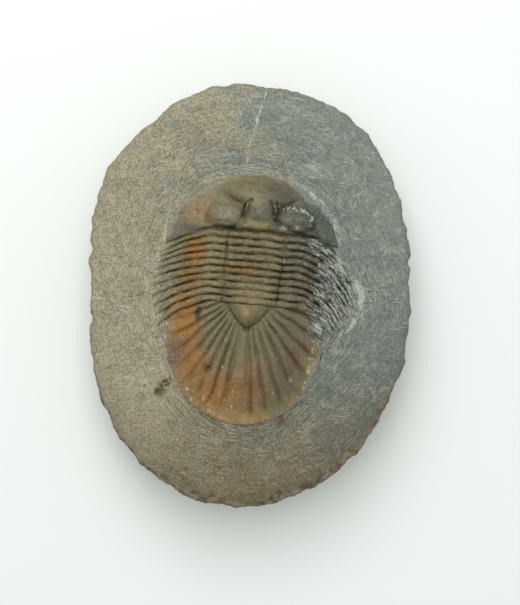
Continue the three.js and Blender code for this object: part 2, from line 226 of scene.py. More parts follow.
def carve_block():
    """The whole block as one closed mesh, with the masks that its material and grit read."""
    angle = np.linspace(0, 2 * math.pi, SPOKES, endpoint=False)[:, None]
    rim = trimmed_rim(angle)
    x, y = np.moveaxis(block_plan(angle, rim), -1, 0)
    u, v = to_shell(x, y)
    clear = clear_of_shell(u, v)
    to_rim = np.hypot(rim[..., 0], rim[..., 1]) - np.hypot(x, y)
    heading = np.arctan2(y, x)
    low_side = np.clip(-np.sin(heading - 0.15), 0, 1) ** 3  # the side behind the tail
    around = np.arctan2(v, u)
    flow = together(4.5 * np.cos(around), 4.5 * np.sin(around), 1.6 * clear)
    strokes = roughness(flow[..., 0], flow[..., 1], flow[..., 2], 1.0)
    top = (bedrock(u, v) + 0.32 * roughness(x, y, 0, 9.0, 2) + (0.05 + 0.1 * bell(clear, 8)) * strokes
           + 0.12 * roughness(x, y, 0, 1.3) + 0.3 * low_side * roughness(x, y, 5, 2.4)
           - smooth(9, 0, to_rim) - 1.6 * low_side * smooth(6, 0, to_rim))
    wander = 0.3 * roughness(x, y, 9, 2.0, 2)
    vein, scratch = beside_path(x + wander, y, VEIN), beside_path(x, y, SCRATCH)
    ragged = roughness(x, y, 3, 0.9)
    from_pit = near_path(x + 0.5 * roughness(x, y, 13, 1.2), y, PIT)
    pit = smooth(1.3, 0.2, from_pit + 0.9 * ragged) * smooth(1.9, 1.2, from_pit)
    top += 0.12 * bell(vein, 0.4) - 1.2 * pit * (1 + 0.6 * roughness(x, y, 17, 0.6))
    covered = np.maximum(smooth(0, -2, v + np.where(u < 0, 8, 4)), smooth(13, 16, v))
    top -= 0.6 * covered * smooth(-0.2, -1.0, clear)  # out of sight under the head and tail

    z = top.copy()
    first = HIDDEN + CARVED
    foot = first + EDGE
    lip = top[:, first - 1:first] - 0.1
    z[:, first:foot] = lip - ROUNDING * (1 - np.cos(np.linspace(0, math.pi / 2, EDGE, endpoint=False)))
    z[:, foot:foot + WALL] = (lip - ROUNDING) * (1 - np.linspace(0, 1, WALL))
    z[:, foot + WALL:] = 0
    body = together(x, y, z)
    rough = slice(first - ROUGH_FROM, foot + WALL - 1)
    wx, wy, wz = np.moveaxis(body[:, rough], -1, 0)
    bite = (0.8 * scars(wx, wy, wz, 8.0) + 0.35 * scars(wx, wy, wz, 3.1)
            + 0.3 * roughness(wx, wy, wz, 1.6))
    fade = np.concatenate([np.linspace(0, 1, ROUGH_FADE), np.ones(wx.shape[1] - ROUGH_FADE)])
    body[:, rough, :2] *= (1 - FLAKE_DEPTH * np.clip(bite, 0, 2) * fade)[..., None]

    points = np.vstack([body.reshape(-1, 3), [[*SHELL_CENTRE, BED + SWELL], [0, 0, 0]]])
    index = np.arange(x.size).reshape(x.shape)
    after = np.roll(index, -1, 0)
    faces = together(index[:, :-1], index[:, 1:], after[:, 1:], after[:, :-1]).reshape(-1, 4).tolist()
    faces += [(x.size, a, b) for a, b in zip(index[:, 0].tolist(), after[:, 0].tolist())]
    faces += [(x.size + 1, b, a) for a, b in zip(index[:, -1].tolist(), after[:, -1].tolist())]

    on_top = np.arange(x.shape[1]) < first + 3
    reach = 0.35 + 0.5 * roughness(x, y, 7, 3.5) + (3.8 + 2.0 * roughness(x, y, 27, 4.0)) * low_side
    by_flank = 0.85 * bell(around - 0.05, 0.42) * smooth(3.6, 0.2, clear)
    by_head = 0.8 * bell(around - 1.0, 0.33) * smooth(3.2, 0.2, clear)
    patchy = 0.75 + 0.9 * roughness(x, y, 23, 1.5) + 0.4 * strokes
    values = {
        "vein": vein, "scratch": scratch, "pit": pit, "flow": flow,
        "skin": np.where(on_top, smooth(1.3, 0.4, to_rim / np.clip(reach, 0.05, None)), 1.0),
        "powder": np.clip((by_flank + by_head) * patchy, 0, 0.75) * smooth(-0.6, 0.0, clear) * on_top,
        "rust": np.clip(1.3 * spot(x, y, RUST, RUST_SIZE) - 1.3 * np.abs(ragged), 0, 1),
        "grit": (clear > 0.2) * on_top * (0.5 + np.abs(wander)),
        "run": together(-np.sin(heading), np.cos(heading), 0),
    }
    poles = {key: np.concatenate([a.reshape(-1, *a.shape[2:]), np.zeros((2, *a.shape[2:]))])
             for key, a in values.items()}
    return make_solid("limestone_rock", points, faces, poles)


block = carve_block()


def new_node(tree, kind, inputs=None, **settings):
    """A node with its settings; inputs gives each socket a value or another node's socket."""
    made = tree.nodes.new(kind)
    for key, value in settings.items():
        setattr(made, key, value)
    for key, value in (inputs or {}).items():
        if isinstance(value, bpy.types.NodeSocket):
            tree.links.new(value, made.inputs[key])
        else:
            made.inputs[key].default_value = value
    return made


def add(tree, kind, inputs=None, **settings):
    """The first output of a new node."""
    return new_node(tree, kind, inputs, **settings).outputs[0]


def math_node(tree, operation, a, b=0.5):
    return add(tree, "ShaderNodeMath", {0: a, 1: b}, operation=operation)


def plus(tree, a, b):
    return math_node(tree, "ADD", a, b)


def minus(tree, a, b):
    return math_node(tree, "SUBTRACT", a, b)


def times(tree, product, *others):
    for other in others:
        product = math_node(tree, "MULTIPLY", product, other)
    return product


def vector_node(tree, operation, a, b):
    return add(tree, "ShaderNodeVectorMath", {0: a, 1: b}, operation=operation)


def blend(tree, share, below, above, mode="MIX"):
    """Colour above laid over colour below."""
    made = new_node(tree, "ShaderNodeMix", {0: share, 6: below, 7: above},
                    data_type="RGBA", blend_type=mode)
    return made.outputs[2]


def lay(tree, colour, *coats):
    """Lays coats of (mask, paint) over a colour, one after another."""
    for mask, paint in coats:
        colour = blend(tree, mask, colour, paint)
    return colour


def mottle(tree, colour, *marks):
    """Multiplies a colour by shades; a mark is (value, low, high, share at high, shade)."""
    for value, low, high, share, shade in marks:
        colour = blend(tree, ramp(tree, value, low, high, 0.0, share), colour, (*shade, 1), "MULTIPLY")
    return colour


def ramp(tree, value, low, high, start=0.0, end=1.0):
    """start up to low, end from high on, and a smooth step between."""
    return add(tree, "ShaderNodeMapRange", {0: value, 1: low, 2: high, 3: start, 4: end},
               interpolation_type="SMOOTHSTEP")


def cloud(tree, place, scale, detail, rough=0.5, distortion=0.0):
    """Cloudy noise round 0.5."""
    return add(tree, "ShaderNodeTexNoise", {"Vector": place, "Scale": scale, "Detail": detail,
                                            "Roughness": rough, "Distortion": distortion})


def field(tree, name, output="Fac"):
    return new_node(tree, "ShaderNodeAttribute", attribute_name=name).outputs[output]


def tint(red, green, blue):
    """A colour as the eye names it, 0 to 255, made linear."""
    return tuple(((c / 255 + 0.055) / 1.055) ** 2.4 for c in (red, green, blue)) + (1.0,)


def new_group(name, inputs, outputs):
    tree = bpy.data.node_groups.new(name, "ShaderNodeTree")
    for direction, sockets in (("INPUT", inputs), ("OUTPUT", outputs)):
        for label, kind in sockets.items():
            tree.interface.new_socket(label, in_out=direction, socket_type="NodeSocket" + kind)
    return tree, tree.nodes.new("NodeGroupInput").outputs, tree.nodes.new("NodeGroupOutput").inputs


def make_place():
    """Where a point is, in mm, with X and Y turned into the shell's own frame."""
    tree, _, out = new_group("place_in_mm", {}, {"Block": "Vector", "Shell": "Vector"})
    here = new_node(tree, "ShaderNodeTexCoord").outputs["Object"]
    block_mm = add(tree, "ShaderNodeVectorMath", {0: here, 3: 1 / MM}, operation="SCALE")
    shell_mm = add(tree, "ShaderNodeMapping",
                   {"Vector": block_mm, "Location": (*SHELL_CENTRE, 0), "Rotation": (0, 0, SHELL_TILT)},
                   vector_type="TEXTURE")
    tree.links.new(block_mm, out["Block"])
    tree.links.new(shell_mm, out["Shell"])
    return tree


def make_speckle():
    """Mineral grain: light and dark specks round 0.5, at the given size in mm."""
    tree, given, out = new_group(
        "mineral_speckle", {"Place": "Vector", "Size": "Float"}, {"Value": "Float"})
    scale = math_node(tree, "DIVIDE", 1.0, given["Size"])
    tree.links.new(cloud(tree, given["Place"], scale, 3.0, 0.75), out["Value"])
    return tree


def make_stain():
    """A patch of colour whose edge a wave of about 0.5 makes ragged: 1 in the middle, 0 outside."""
    tree, given, out = new_group(
        "ragged_stain",
        {"Place": "Vector", "Wave": "Float", "Centre": "Vector", "Size": "Vector", "Ragged": "Float"},
        {"Mask": "Float"})
    off = vector_node(tree, "SUBTRACT", given["Place"], given["Centre"])
    flat = vector_node(tree, "MULTIPLY", vector_node(tree, "DIVIDE", off, given["Size"]), (1, 1, 0))
    away = new_node(tree, "ShaderNodeVectorMath", {0: flat}, operation="LENGTH").outputs["Value"]
    push = times(tree, minus(tree, given["Wave"], 0.5), given["Ragged"])
    tree.links.new(ramp(tree, plus(tree, away, push), 1.5, 0.2), out["Mask"])
    return tree


def make_scribe():
    """Short strokes of the air scribe, all one way: 0 between them, 1 on a bruise."""
    tree, given, out = new_group(
        "scribe_strokes", {"Place": "Vector", "Turn": "Float", "Length": "Float", "Width": "Float"},
        {"Mask": "Float"})
    turned = add(tree, "ShaderNodeVectorRotate", {"Vector": given["Place"], "Angle": given["Turn"]},
                 rotation_type="Z_AXIS")
    size = add(tree, "ShaderNodeCombineXYZ", {0: given["Length"], 1: given["Width"], 2: 1.0})
    strokes = cloud(tree, vector_node(tree, "DIVIDE", turned, size), 1.0, 1.0, 0.5, 0.3)
    tree.links.new(ramp(tree, strokes, 0.57, 0.72), out["Mask"])
    return tree


PLACE, SPECKLE, STAIN, SCRIBE = make_place(), make_speckle(), make_stain(), make_scribe()


def use(tree, group, inputs=None):
    return new_node(tree, "ShaderNodeGroup", inputs, node_tree=group).outputs


def speckle(tree, place, size):
    return use(tree, SPECKLE, {"Place": place, "Size": size})["Value"]


def stained(tree, colour, place, wave, ragged, patches):
    """Lays ragged patches over a colour; each is (paint, middle, half size in mm, share)."""
    for paint, middle, size, share in patches:
        mask = use(tree, STAIN, {"Place": place, "Wave": wave, "Centre": (*middle, 0),
                                 "Size": (*size, 1), "Ragged": ragged})["Mask"]
        colour = blend(tree, times(tree, mask, share), colour, tint(*paint))
    return colour


def new_material(name, **uniform):
    """An empty material with a Principled BSDF; uniform gives its plain socket values."""
    material = bpy.data.materials.new(name)
    material.use_nodes = True
    shader = material.node_tree.nodes["Principled BSDF"]
    for key, value in uniform.items():
        shader.inputs[key.replace("_", " ")].default_value = value
    return material, material.node_tree, shader.inputs


def surface(tree, shader, colour, grain, dull, shiny):
    """Links a finish's colour, and a roughness from dull to shiny over its grain."""
    tree.links.new(colour, shader["Base Color"])
    tree.links.new(ramp(tree, grain, 0.3, 0.7, dull, shiny), shader["Roughness"])


def fine_relief(tree, shader, height, strength, distance):
    bump = add(tree, "ShaderNodeBump", {"Height": height, "Strength": strength, "Distance": distance})
    tree.links.new(bump, shader["Normal"])


STONE_PATCHES = (
    ((126, 104, 56), (2.8, -39.3), (1.2, 1.8), 0.7),
    ((160, 138, 100), (-38.6, 12.0), (1.6, 8.0), 0.3),
    ((166, 146, 108), (-34.5, 21.0), (1.5, 5.0), 0.3),
    ((160, 144, 112), (-30.0, 33.5), (2.0, 5.0), 0.25),
    ((150, 132, 98), (-37.6, -8.0), (1.6, 9.0), 0.3),
    ((140, 122, 96), (-13.0, 38.0), (8.0, 4.0), 0.35),
    ((184, 188, 180), (14.5, 30.5), (2.6, 3.0), 0.18),
    ((180, 170, 138), (-25.0, -31.0), (7.0, 10.0), 0.35),
    ((124, 102, 68), (2.0, -47.5), (20.0, 5.0), 0.6),
)
STROKES = (  # turn, length, width, share
    (0.15, 3.4, 0.24, 0.6), (-0.75, 2.6, 0.22, 0.55), (1.2, 2.4, 0.22, 0.5),
)
VEIN_SWELLING = ((204, 202, 184), VEIN[2], (0.55, 1.0), 0.7)


def limestone():
    material, tree, shader = new_material("grey_limestone")
    place = use(tree, PLACE)["Block"]
    east, north, _ = new_node(tree, "ShaderNodeSeparateXYZ", {0: place}).outputs
    clouds = cloud(tree, place, 0.1, 2.0)
    patches, dust, grain = (speckle(tree, place, size) for size in (3.6, 1.1, 0.42))
    cloudy = plus(tree, times(tree, clouds, 70.0), times(tree, patches, 35.0))
    drift = plus(tree, east, minus(tree, cloudy, 52.5))
    low = ramp(tree, north, -14.0, -42.0)

    grey = blend(tree, ramp(tree, north, 25.0, -35.0), tint(120, 128, 119), tint(100, 107, 99))
    colour = blend(tree, ramp(tree, drift, -34.0, 28.0), tint(152, 144, 119), grey)
    colour = mottle(tree, colour,
                    (patches, 0.5, 0.66, 0.55, (0.6, 0.66, 0.7)),
                    (patches, 0.48, 0.32, 0.5, (1.4, 1.32, 1.22)),
                    (dust, 0.5, 0.66, 0.4, (1.3, 1.28, 1.24)),
                    (dust, 0.48, 0.34, 0.45, (0.6, 0.6, 0.56)))
    warm = times(tree, low, ramp(tree, patches, 0.36, 0.6, 1.0, 0.45))
    colour = blend(tree, warm, colour, tint(98, 84, 58))
    colour = stained(tree, colour, place, patches, 3.2, STONE_PATCHES)

    salt = ramp(tree, drift, -10.0, 30.0, 0.85, 0.5)
    greyer = ramp(tree, drift, -20.0, 15.0)
    warmer = times(tree, low, 0.7)
    pepper = blend(tree, greyer, tint(92, 84, 64), tint(80, 86, 80))
    pale = blend(tree, greyer, tint(188, 180, 152), tint(158, 164, 154))
    pale = blend(tree, warmer, pale, tint(152, 138, 110))
    colour = lay(tree, colour,
                 (times(tree, ramp(tree, grain, 0.5, 0.34), salt, 0.95), pepper),
                 (times(tree, ramp(tree, grain, 0.52, 0.66), salt, 0.9), pale))

    flow = field(tree, "flow", "Vector")
    brushed = cloud(tree, flow, 2.2, 2.0)
    beside = new_node(tree, "ShaderNodeSeparateXYZ", {0: flow}).outputs[2]
    here = times(tree, ramp(tree, patches, 0.42, 0.6, 1.0, 0.35), ramp(tree, beside, 14.0, 2.0, 0.45))
    # Painted shade, laid along the scribe strokes, in the rock round the lower part of the tail, on its
    # side away from the light.
    shade_below_tail = times(tree, ramp(tree, beside, 12.0, 3.0), low, ramp(tree, brushed, 0.5, 0.4, 0.0, 0.6))
    colour = lay(tree, colour,
                 (times(tree, ramp(tree, brushed, 0.54, 0.7, 0.0, 0.6), here), tint(174, 174, 156)),
                 (times(tree, ramp(tree, brushed, 0.47, 0.3, 0.0, 0.8), here), tint(80, 80, 68)),
                 (shade_below_tail, tint(72, 70, 56)))
    stroke = blend(tree, warmer, tint(192, 192, 176), tint(160, 148, 122))
    for turn, length, width, share in STROKES:
        marks = use(tree, SCRIBE, {"Place": place, "Turn": turn, "Length": length, "Width": width})["Mask"]
        shifted = vector_node(tree, "ADD", place, (turn * 40, 0, 0))
        where = ramp(tree, speckle(tree, shifted, 6.0), 0.5, 0.6)
        colour = blend(tree, times(tree, marks, where, share), colour, stroke)

    dots = add(tree, "ShaderNodeTexVoronoi", {"Vector": place, "Scale": 0.62})
    flour = plus(tree, times(tree, grain, 1.5), cloud(tree, flow, 4.5, 3.0))
    powder = ramp(tree, plus(tree, field(tree, "powder"), flour), 1.56, 2.1, 0.0, 0.85)
    hollow = blend(tree, ramp(tree, speckle(tree, place, 0.8), 0.42, 0.58),
                   tint(66, 56, 38), tint(128, 112, 84))
    skin = times(tree, field(tree, "skin"), ramp(tree, clouds, 0.35, 0.6, 0.5),
                 ramp(tree, north, 5.0, -38.0, 0.25, 0.95))
    brown = blend(tree, ramp(tree, speckle(tree, place, 1.8), 0.4, 0.62),
                  tint(80, 70, 50), tint(146, 130, 102))
    rusty = times(tree, ramp(tree, field(tree, "rust"), 0.1, 0.5), ramp(tree, grain, 0.36, 0.48), 0.85)
    colour = lay(tree, colour,
                 (ramp(tree, dots, 0.15, 0.08, 0.0, 0.7), tint(62, 58, 46)),
                 (powder, tint(180, 188, 180)),
                 (ramp(tree, field(tree, "pit"), 0.1, 0.8, 0.0, 0.75), hollow),
                 (skin, brown),
                 (rusty, tint(96, 56, 38)))
    for name, width, share in (("vein", 0.16, 0.65), ("scratch", 0.14, 0.6)):
        away = math_node(tree, "ABSOLUTE", field(tree, name))
        away = plus(tree, away, times(tree, minus(tree, dust, 0.5), 1.6))
        line = times(tree, ramp(tree, away, width, width / 3), share)
        colour = blend(tree, line, colour, tint(200, 196, 172))
    colour = stained(tree, colour, place, dust, 2.0, (VEIN_SWELLING,))
    surface(tree, shader, colour, grain, 0.95, 0.7)
    fine_relief(tree, shader, plus(tree, grain, times(tree, brushed, 0.8)), 0.6, 0.3 * MM)
    return material


def white_calcite():
    material, tree, shader = new_material("white_calcite")
    grain = speckle(tree, use(tree, PLACE)["Block"], 0.4)
    colour = blend(tree, ramp(tree, grain, 0.36, 0.62), tint(142, 142, 128), tint(206, 206, 192))
    surface(tree, shader, colour, grain, 0.7, 0.4)
    return material


LIMESTONE, CALCITE = limestone(), white_calcite()


def new_tree(name, inputs):
    """A Geometry Nodes tree with its named inputs, after a geometry."""
    tree = bpy.data.node_groups.new(name, "GeometryNodeTree")
    tree.interface.new_socket("Geometry", in_out="INPUT", socket_type="NodeSocketGeometry")
    tree.interface.new_socket("Geometry", in_out="OUTPUT", socket_type="NodeSocketGeometry")
    for label, kind in inputs.items():
        tree.interface.new_socket(label, in_out="INPUT", socket_type="NodeSocket" + kind)
    return tree, tree.nodes.new("NodeGroupInput").outputs


def stored(tree, name, kind="FLOAT"):
    return add(tree, "GeometryNodeInputNamedAttribute", {"Name": name}, data_type=kind)


def finish_tree(tree, geometry, finish, chosen=True):
    """Ends a tree with Realize Instances and Set Material, on the chosen faces."""
    real = add(tree, "GeometryNodeRealizeInstances", {"Geometry": geometry})
    dressed = add(tree, "GeometryNodeSetMaterial",
                  {"Geometry": real, "Selection": chosen, "Material": finish})
    tree.links.new(dressed, tree.nodes.new("NodeGroupOutput").inputs[0])


def grit_tree(name, mask, finish):
    """Small angular grains half sunk in a surface, as many as mask says, laid along its run."""
    tree, given = new_tree(
        name, {"Per square mm": "Float", "Length": "Float", "Width": "Float", "Seed": "Int"})
    density = times(tree, stored(tree, mask), given["Per square mm"], 1 / MM ** 2)
    points = add(tree, "GeometryNodeDistributePointsOnFaces",
                 {"Mesh": given["Geometry"], "Density": density, "Seed": given["Seed"]})
    grain = add(tree, "GeometryNodeMeshIcoSphere", {"Radius": 0.5, "Subdivisions": 1})
    marked = add(tree, "GeometryNodeStoreNamedAttribute",
                 {"Geometry": grain, "Name": name, "Value": 1.0}, data_type="FLOAT")
    turned = add(tree, "FunctionNodeAlignRotationToVector",
                 {"Vector": stored(tree, "run", "FLOAT_VECTOR")}, axis="X")
    size = new_node(tree, "FunctionNodeRandomValue", {2: 0.45, 3: 1.0, "Seed": given["Seed"]}).outputs[1]
    shape = add(tree, "ShaderNodeCombineXYZ", {0: times(tree, given["Length"], size),
                                               1: times(tree, given["Width"], size),
                                               2: times(tree, given["Width"], 0.8)})
    laid = add(tree, "GeometryNodeInstanceOnPoints",
               {"Points": points, "Instance": marked, "Rotation": turned, "Scale": shape})
    both = new_node(tree, "GeometryNodeJoinGeometry")
    tree.links.new(laid, both.inputs[0])
    tree.links.new(given["Geometry"], both.inputs[0])
    finish_tree(tree, both.outputs[0], finish, stored(tree, name))
    return tree


def apply_tree(piece, tree, settings):
    """Runs a tree on a piece and leaves a plain mesh, with the same name."""
    modifier = piece.modifiers.new(tree.name, "NODES")
    modifier.node_group = tree
    for item in tree.interface.items_tree:
        if item.name in settings:
            modifier[item.identifier] = settings[item.name]
    evaluated = piece.evaluated_get(bpy.context.evaluated_depsgraph_get())
    mesh = bpy.data.meshes.new_from_object(evaluated)
    piece.modifiers.clear()
    piece.data = mesh
    mesh.name = piece.name


block.data.materials.append(LIMESTONE)
CRUMBS = grit_tree("limestone_crumbs", "grit", LIMESTONE)
POWDER = grit_tree("calcite_powder", "powder", CALCITE)
apply_tree(block, CRUMBS, {"Per square mm": 0.25, "Length": 0.45 * MM, "Width": 0.3 * MM, "Seed": 4})
apply_tree(block, POWDER, {"Per square mm": 2.2, "Length": 0.6 * MM, "Width": 0.2 * MM, "Seed": 9})
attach(block, "root")
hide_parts("limestone_block")


# ---------------------------------------------------------------- shell: head shield
# Three plates of calcite shell that met at the facial sutures: the cranidium, with the
# glabella and both eye lobes, and a free cheek on each side. The rock still holds their edges.
EDGE_HEIGHT = 0.6  # of the shell's margin over the bed
PLATFORM = 3.5  # further rise to the inner part of the flanks
PITCH = 1.73  # length of a thoracic segment
THORAX_FRONT = 16.1
FULCRUM = 10.0
SWEEP_SPAN = 12.5
SUNK = 0.3  # how deep a plate's underside lies in the rock
SEAM = 0.02  # between neighbouring plates
ENDS = np.array([0.0, 1.0])  # of a plate's border line
HEAD = {"u": -1.1, "v": 11.5, "half_width": 20.9, "length": 18.7}
GENAL_LEFT, GENAL_RIGHT = 22.0, 19.5
CHEEK_TIP = 0.03  # width of a free cheek's front end
SUTURE_BACK, SUTURE_CLOSING = 14.9, 5.6  # the cranidium's half width, and how much less it is in front
EYES = ((-8.6, 19.6, 4.2, 2.7, 0.0), (8.9, 20.3, 4.5, 2.9, -0.2))  # middle u, v, half sizes and turn
LEFT_FURROW = ((-9.6, 26.2), (-7.8, 24.3), (-6.4, 23.5), (-4.6, 22.9), (-3.9, 21.8), (-4.0, 19.6))
RIGHT_FURROW = ((9.0, 26.2), (6.7, 23.5), (5.1, 22.1), (4.0, 20.8), (3.8, 19.6), (4.6, 17.6))
PIT_ARMS = (
    ((-4.1, 19.9), (-3.9, 22.1), (-2.4, 23.7)), ((-3.6, 20.6), (-2.7, 22.4)),
    ((3.5, 19.4), (3.1, 21.8), (2.3, 23.8)), ((3.6, 19.2), (3.9, 21.0), (4.9, 23.0)),
    ((4.2, 22.2), (3.6, 23.6)),
)
FLECKS = (
    (-3.1, 22.7), (-3.5, 21.4), (-3.3, 22.1), (3.2, 22.8), (3.5, 21.7), (3.4, 20.4), (4.4, 22.9),
    (5.5, 22.3),
)
GLABELLA = {  # v, then half width and rise there
    16.6: (6.8, 1.6), 17.8: (6.4, 2.1), 18.8: (4.8, 1.7), 20.0: (3.7, 2.4), 21.4: (3.5, 2.7),
    22.6: (4.8, 2.9), 23.6: (7.0, 3.1), 24.8: (8.8, 3.3), 26.0: (9.4, 3.3), 27.5: (8.9, 3.1),
    29.0: (7.6, 2.6), 31.0: (5.8, 2.0),
}
ROCK_DUST = (  # middle, half size and depth of the places where dust lies far in over the shell
    ((16.5, -14.0), (6.0, 8.0), 2.4), ((-21.0, 15.5), (3.0, 4.0), 1.6), ((-23.0, 3.0), (4.0, 9.0), 1.2),
    ((12.8, 27.0), (3.6, 2.6), 7.0), ((-14.0, 25.5), (7.0, 4.0), 2.5),
)


def dome(distance, power=0.6):
    """1 at 0, falling more and more steeply to 0 at 1."""
    return np.clip(1 - distance ** 2, 0, 1) ** power


def flank(share):
    """Height over the bed of the body's plain curve; share is 0 at the axis, 1 at the margin."""
    return EDGE_HEIGHT + PLATFORM * (1 - smooth(0.4, 1.03, share))


def segment_edge(n, u):
    """v of the line behind n segments: straight in the middle, swept back past the fulcrum."""
    past = np.clip(np.abs(u) - FULCRUM, 0, None) / SWEEP_SPAN
    left = (3.4 + 0.11 * (n - 4) ** 2) * past ** 1.6
    right = (8.6 - 5 * np.exp(-1.6 * np.maximum(0, n))) * past ** 2
    return THORAX_FRONT - PITCH * n - np.where(u < 0, left, right)


def head_margin(u):
    share = np.clip(np.abs(u - HEAD["u"]) / HEAD["half_width"], 0, 1)
    return HEAD["v"] + HEAD["length"] * (1 - share ** 1.9) ** 0.5


def suture(t):
    """Half width of the cranidium, from the back of the head at 0 to its front at 1."""
    return SUTURE_BACK - SUTURE_CLOSING * smooth(0, 1, t)


def on_head(u, t):
    """Points at u, the share t of the way from the back of the head to its margin."""
    return together(u, segment_edge(-SEAM / 2 / PITCH, u) * (1 - t) + head_margin(u) * t)


def from_table(v, table, column):
    """A value read between a table's rows, with its corners rounded off."""
    step, half, past_end = 0.05, 17, 2  # half is the steps to each side that a corner is rounded over
    along = np.array(sorted(table))
    fine = np.arange(along[0] - past_end, along[-1] + past_end, step)
    plain = np.interp(fine, along, [table[k][column] for k in along])
    window = np.hanning(2 * half + 1)
    return np.interp(v, fine, np.convolve(np.pad(plain, half, "edge"), window / window.sum(), "valid"))


def eye_lobes(u, v):
    """The two palpebral lobes: their rise, the rim on their outer side, the crease behind them."""
    rise, rim, crease = np.zeros_like(u), np.zeros_like(u), np.zeros_like(u)
    warp_u, warp_v = 0.35 * roughness(u, v, 70, 2.0), 0.3 * roughness(u, v, 80, 2.0)
    for eye_u, eye_v, half_width, half_length, turn in EYES:
        side = np.sign(eye_u)
        du, dv = u - eye_u + warp_u, v - eye_v + warp_v
        across = (du * math.cos(turn) + dv * math.sin(turn)) / half_width
        forwards = (-du * math.sin(turn) + dv * math.cos(turn)) / half_length
        away = (np.abs(across) ** 2.2 + np.abs(forwards) ** 2.2) ** (1 / 2.2)
        outward = across * side
        behind = smooth(0.35, -0.45, forwards - 0.25 * outward)
        body = smooth(1.35, 0.2, away) * (1 - behind) + dome(np.minimum(away * 0.97, 1), 0.55) * behind
        lip = bell(away - 0.82, 0.2) * smooth(-0.3, 0.6, forwards + 0.5 * outward)
        bump = spot(across, forwards, (-0.5 * side, -0.45), (0.4, 0.4))
        dip = spot(across, forwards, (0.7 * side, -0.4), (0.35, 0.4))
        rise = np.maximum(rise, 1.8 * body + 0.25 * lip + 0.3 * bump - 0.5 * dip * (away < 1))
        rim = np.maximum(rim, lip)
        crease = np.maximum(crease, bell(away - 1.08, 0.17) * behind)
    return rise, rim, crease


def furrows_and_pits(u, v):
    """The two furrows beside the glabella, and the narrow cores of them and of the pits."""
    furrow, core = np.zeros_like(u), np.zeros_like(u)
    uneven = 0.6 + 0.6 * roughness(u, v, 95, 1.0)
    for path in (LEFT_FURROW, RIGHT_FURROW):
        away = near_path(u + 0.3 * roughness(u, v, 90, 1.5), v, path)
        furrow += 0.6 * bell(away, 0.8) * smooth(26.6, 23.4, v)
        core += 0.35 * bell(away, 0.3) * smooth(25.2, 22.6, v) * uneven
    for arm in PIT_ARMS:
        core += 0.85 * bell(near_path(u + 0.35 * roughness(u, v, 99, 0.7, 2), v, arm), 0.3)
    return furrow, np.clip(core, 0, 1.2)


def head_relief(u, v):
    """Height over the bed of the head's surface, then its mask of painted shade in the grooves and its
    crust mask.
    """
    share = np.hypot((u - HEAD["u"]) / HEAD["half_width"], (v - HEAD["v"]) / HEAD["length"])
    to_margin = np.clip(head_margin(u) - v, 0, None)
    width = from_table(v, GLABELLA, 0) * np.where(u < 0, 1 + 0.3 * smooth(24, 27, v), 1)
    frontal = 0.5 * smooth(23, 27, v)
    swollen = dome(u / width, 0.75) * (1 - frontal) + frontal * smooth(1.15, 0.1, np.abs(u / width))
    glabella = from_table(v, GLABELLA, 1) * swollen * smooth(-0.8, 4.6, to_margin)
    eyes, rim, crease = eye_lobes(u, v)
    furrow, core = furrows_and_pits(u, v)
    behind = v - segment_edge(0, u)
    middle = smooth(16.5, 12.5, np.abs(u))
    border = 0.35 * bell(behind - 1.9, 0.55) * smooth(6, 8, np.abs(u)) * middle
    edge_roll = (0.3 + 0.8 * middle) * smooth(1.2, 0.1, behind)
    lumps = 0.17 * roughness(u, v, 0, 2.6) + 0.06 * roughness(u, v, 3, 0.8, 2)
    high = np.logaddexp(4 * glabella, 4 * eyes) / 4 - math.log(2) / 4  # the two flow together
    height = flank(share) + high - furrow - core - border - edge_roll - 0.35 * crease + lumps
    # Painted shade: the furrows, pits, posterior border, creases behind the eyes and the rolled back edge,
    # as one mask.
    uneven = 0.75 + 0.5 * roughness(u, v, 6, 1.4)
    groove_shade = np.clip(0.3 * furrow + 1.2 * core * uneven + 0.4 * border + 0.9 * crease * uneven
                     + 0.9 * (edge_roll - 0.2) * uneven, 0, 1)
    crust = 1.05 * rim * (u > 0) * np.clip(0.6 + 1.9 * roughness(u, v, 31, 0.8), 0, 1.2)
    behind_eye = 1.1 * spot(u, v, (6.0, 18.0), (0.9, 0.6)) + 0.9 * spot(u, v, (9.3, 18.3), (1.0, 0.5))
    crust = np.maximum(crust, behind_eye)
    ragged = 0.3 * roughness(u, v, 97, 0.5)
    for fleck in FLECKS:
        crust = np.maximum(crust, 1.3 * spot(u + ragged, v, fleck, (0.17, 0.36)))
    return height, groove_shade, crust


def straight(first, last):
    """The border line from one corner to another."""
    return lambda t: first + (last - first) * t[:, None]


def patch(back, front, left, right, columns, rows):
    """Points of a four-sided patch between its border lines, each a function of 0 to 1."""
    columns, rows = np.linspace(0, 1, columns), np.linspace(0, 1, rows)
    s, t = columns[:, None, None], rows[None, :, None]
    row_lines = [line(columns)[:, None, :] for line in (back, front)]
    side_lines = [line(rows)[None, :, :] for line in (left, right)]
    corners = [line(ENDS) for line in (back, front)]
    ruled = (1 - t) * row_lines[0] + t * row_lines[1] + (1 - s) * side_lines[0] + s * side_lines[1]
    flat = ((1 - t) * ((1 - s) * corners[0][0] + s * corners[0][1])
            + t * ((1 - s) * corners[1][0] + s * corners[1][1]))
    return ruled - flat


